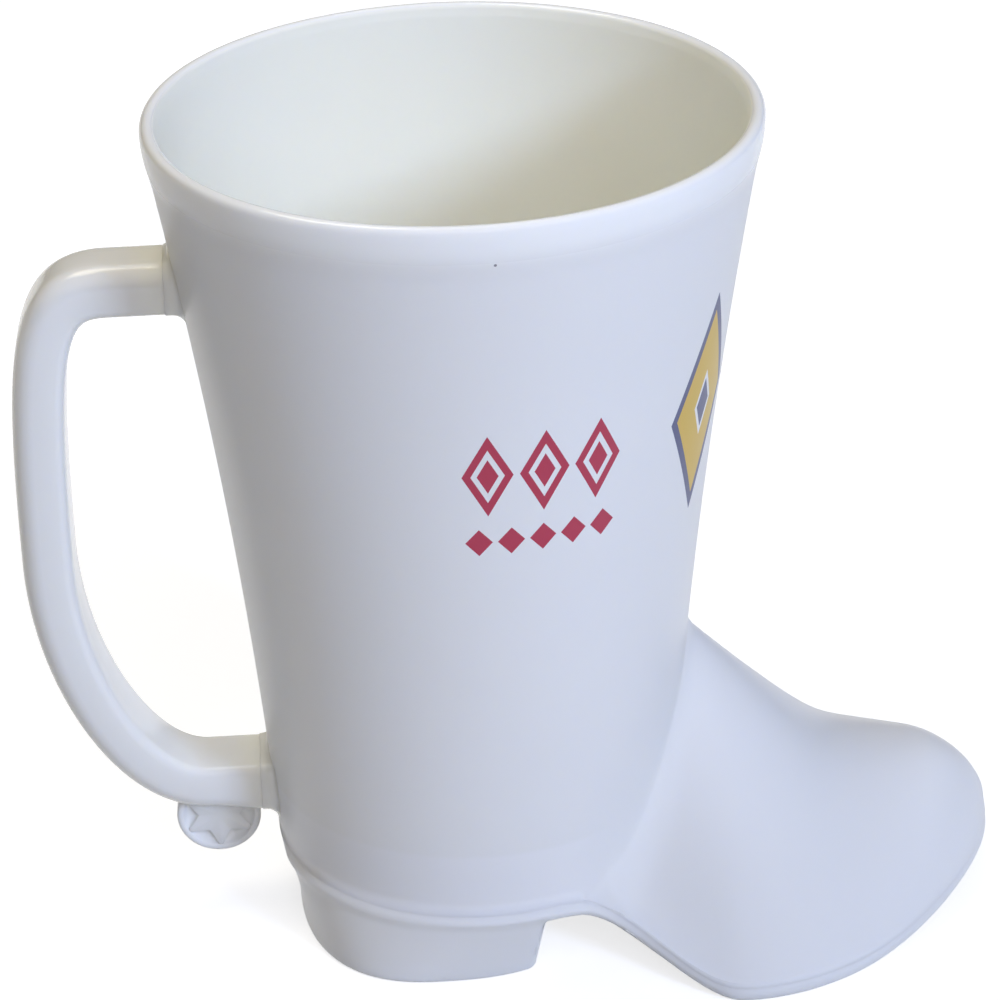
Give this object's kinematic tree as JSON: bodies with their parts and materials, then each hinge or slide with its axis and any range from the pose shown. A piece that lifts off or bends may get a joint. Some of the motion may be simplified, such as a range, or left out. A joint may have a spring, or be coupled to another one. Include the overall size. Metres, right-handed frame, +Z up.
{
  "type": "boot-shaped cup",
  "caption": "Glossy off-white plastic drinking cup shaped as a cowboy boot, with a round flared shaft, moulded sole and heel, a bar handle and a small spur disc under it.",
  "frame": {"origin": "point on the table under the axis of the round shaft, on the flat bottom of the heel", "axes": "+X from the heel towards the toe, +Z up along the axis of the shaft, +Y to the left of the boot"},
  "size_m": [0.1682, 0.101, 0.148],
  "materials": {
    "upper": "smooth off-white moulded plastic, glossy",
    "sole": "smooth off-white moulded plastic, slightly duller underneath",
    "handle": "smooth off-white moulded plastic, glossy",
    "rowel": "off-white moulded plastic with a shallow raised pattern"
  },
  "bodies": {
    "root": {"boot_upper": "upper", "sole_and_heel": "sole", "handle": "handle", "spur_rowel": "rowel"}
  },
  "joints": []
}
